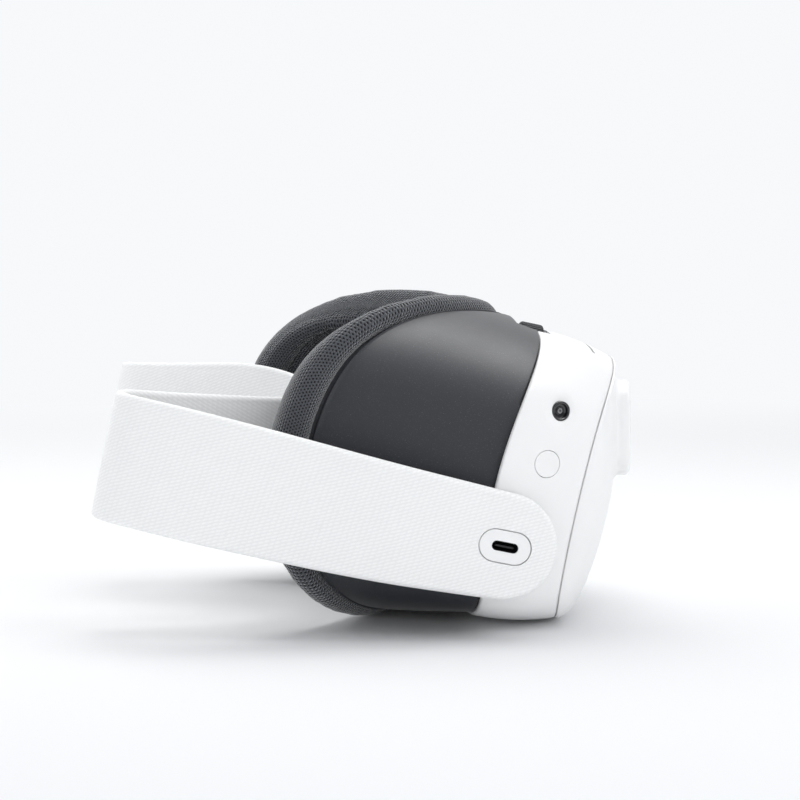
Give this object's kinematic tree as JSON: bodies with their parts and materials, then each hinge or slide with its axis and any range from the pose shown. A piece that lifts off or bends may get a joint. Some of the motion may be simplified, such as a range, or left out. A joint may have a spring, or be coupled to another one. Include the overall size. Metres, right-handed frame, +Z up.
{
  "type": "vr headset",
  "caption": "Self-contained headset with a curved visor housing, sensor pods, a padded face interface and a soft fabric head strap on two pivoting side arms.",
  "frame": {"origin": "centre of the bounding box at the table surface that the headset lies on", "axes": "+X towards the front of the visor, +Y towards the wearer's right side, +Z up from the table, towards the wearer's chin as the headset lies on its brow edge"},
  "size_m": [0.1913, 0.1846, 0.1127],
  "materials": {
    "white_shell": "satin moulded, very fine texture",
    "white_trim": "satin moulded",
    "black_window": "gloss black, infrared clear",
    "camera_black": "gloss black",
    "frame_plastic": "glass-filled, matte",
    "dark_inner": "matte",
    "circuit_board": "solder mask",
    "heat_metal": "milled sheet",
    "battery_wrap": "film wrap",
    "steel": "ground",
    "lens_glass": "coated optical",
    "display_glass": "gloss",
    "dark_shell": "satin, fine texture",
    "cushion_knit": "open spacer knit over foam",
    "bush_polymer": "unfilled acetal",
    "arm_core_plastic": "matte",
    "strap_fabric": "fine twill over thin foam",
    "port_black": "matte"
  },
  "bodies": {
    "visor": {"main_housing": "white_shell", "front_cover": "white_shell", "sensor_window_left": "black_window", "sensor_window_center": "black_window", "sensor_window_right": "black_window", "front_camera_left": "camera_black", "front_camera_right": "camera_black", "depth_projector": "camera_black", "side_camera_left": "camera_black", "side_camera_right": "camera_black", "mid_frame": "frame_plastic", "eye_panel": "dark_inner", "main_board": "circuit_board", "heat_spreader": "heat_metal", "fan_housing": "dark_inner", "battery": "battery_wrap", "ipd_rail": "steel", "proximity_sensor": "camera_black", "vent_grilles": "dark_inner", "pivot_post_left": "steel", "pivot_post_right": "steel", "pivot_washers": "steel", "frame_screws": "steel"},
    "fan": {"fan_rotor": "dark_inner"},
    "power_key": {"power_button": "white_shell"},
    "volume_key": {"volume_rocker": "white_shell"},
    "ipd_dial": {"ipd_wheel": "dark_inner"},
    "cross_screw": {"ipd_screw": "steel"},
    "eye_unit_left": {"lens_barrel_left": "dark_inner", "lens_left": "lens_glass", "display_left": "display_glass"},
    "eye_unit_right": {"lens_barrel_right": "dark_inner", "lens_right": "lens_glass", "display_right": "display_glass"},
    "face_interface": {"face_shell": "dark_shell", "face_cushion": "cushion_knit"},
    "latch_button_left": {"latch_left": "dark_shell"},
    "latch_button_right": {"latch_right": "dark_shell"},
    "head_strap": {"pivot_bushing_left": "bush_polymer", "pivot_bushing_right": "bush_polymer", "arm_core_left": "arm_core_plastic", "arm_core_right": "arm_core_plastic", "arm_sleeve_left": "strap_fabric", "arm_sleeve_right": "strap_fabric", "rear_strap": "strap_fabric", "usb_island": "white_trim", "usb_receptacle": "port_black", "audio_island": "white_trim", "audio_jack": "port_black", "speaker_left": "port_black", "speaker_right": "port_black"}
  },
  "joints": [
    {"name": "strap_swing", "type": "hinge", "parent": "visor", "child": "head_strap", "pos_m": [0.0381, 0, 0.03108], "axis": [0, 1, 0], "range_deg": [-12, 25]},
    {"name": "face_depth", "type": "slide", "parent": "visor", "child": "face_interface", "axis": [-0.9781, 0, 0.2079], "range_m": [0, 0.007]},
    {"name": "latch_left_press", "type": "slide", "parent": "face_interface", "child": "latch_button_left", "axis": [0, 1, 0], "range_m": [0, 0.0012], "stiffness_N_per_m": 800},
    {"name": "latch_right_press", "type": "slide", "parent": "face_interface", "child": "latch_button_right", "axis": [0, -1, 0], "range_m": [0, 0.0012], "stiffness_N_per_m": 800},
    {"name": "power_press", "type": "slide", "parent": "visor", "child": "power_key", "axis": [-0.238, 0.9699, 0.0506], "range_m": [0, 0.0006], "stiffness_N_per_m": 1500},
    {"name": "volume_tip", "type": "hinge", "parent": "visor", "child": "volume_key", "pos_m": [0.06325, 0.04073, 0.09649], "axis": [0.9781, 0, -0.2079], "range_deg": [-2, 2], "stiffness_Nm_per_rad": 0.4},
    {"name": "ipd_wheel_turn", "type": "hinge", "parent": "visor", "child": "ipd_dial", "pos_m": [0.0563, -0.034, 0.09264], "axis": [0.9781, 0, -0.2079], "range_deg": [-293, 293]},
    {"name": "ipd_screw_turn", "type": "hinge", "parent": "visor", "child": "cross_screw", "pos_m": [0.06168, 0, 0.08332], "axis": [0, 1, 0], "range_deg": [-461, 461]},
    {"name": "eye_left_slide", "type": "slide", "parent": "visor", "child": "eye_unit_left", "axis": [0, 1, 0], "range_m": [-0.0032, 0.0032]},
    {"name": "eye_right_slide", "type": "slide", "parent": "visor", "child": "eye_unit_right", "axis": [0, 1, 0], "range_m": [-0.0032, 0.0032]},
    {"name": "fan_spin", "type": "hinge", "parent": "visor", "child": "fan", "pos_m": [0.06615, 0, 0.04761], "axis": [0.9781, 0, -0.2079], "continuous": true}
  ],
  "couplings": [
    {"joint": "ipd_wheel_turn", "follows": "eye_left_slide", "rad_per_m": -1597},
    {"joint": "ipd_screw_turn", "follows": "eye_left_slide", "rad_per_m": -2513.3},
    {"joint": "eye_right_slide", "follows": "eye_left_slide", "ratio": -1}
  ]
}
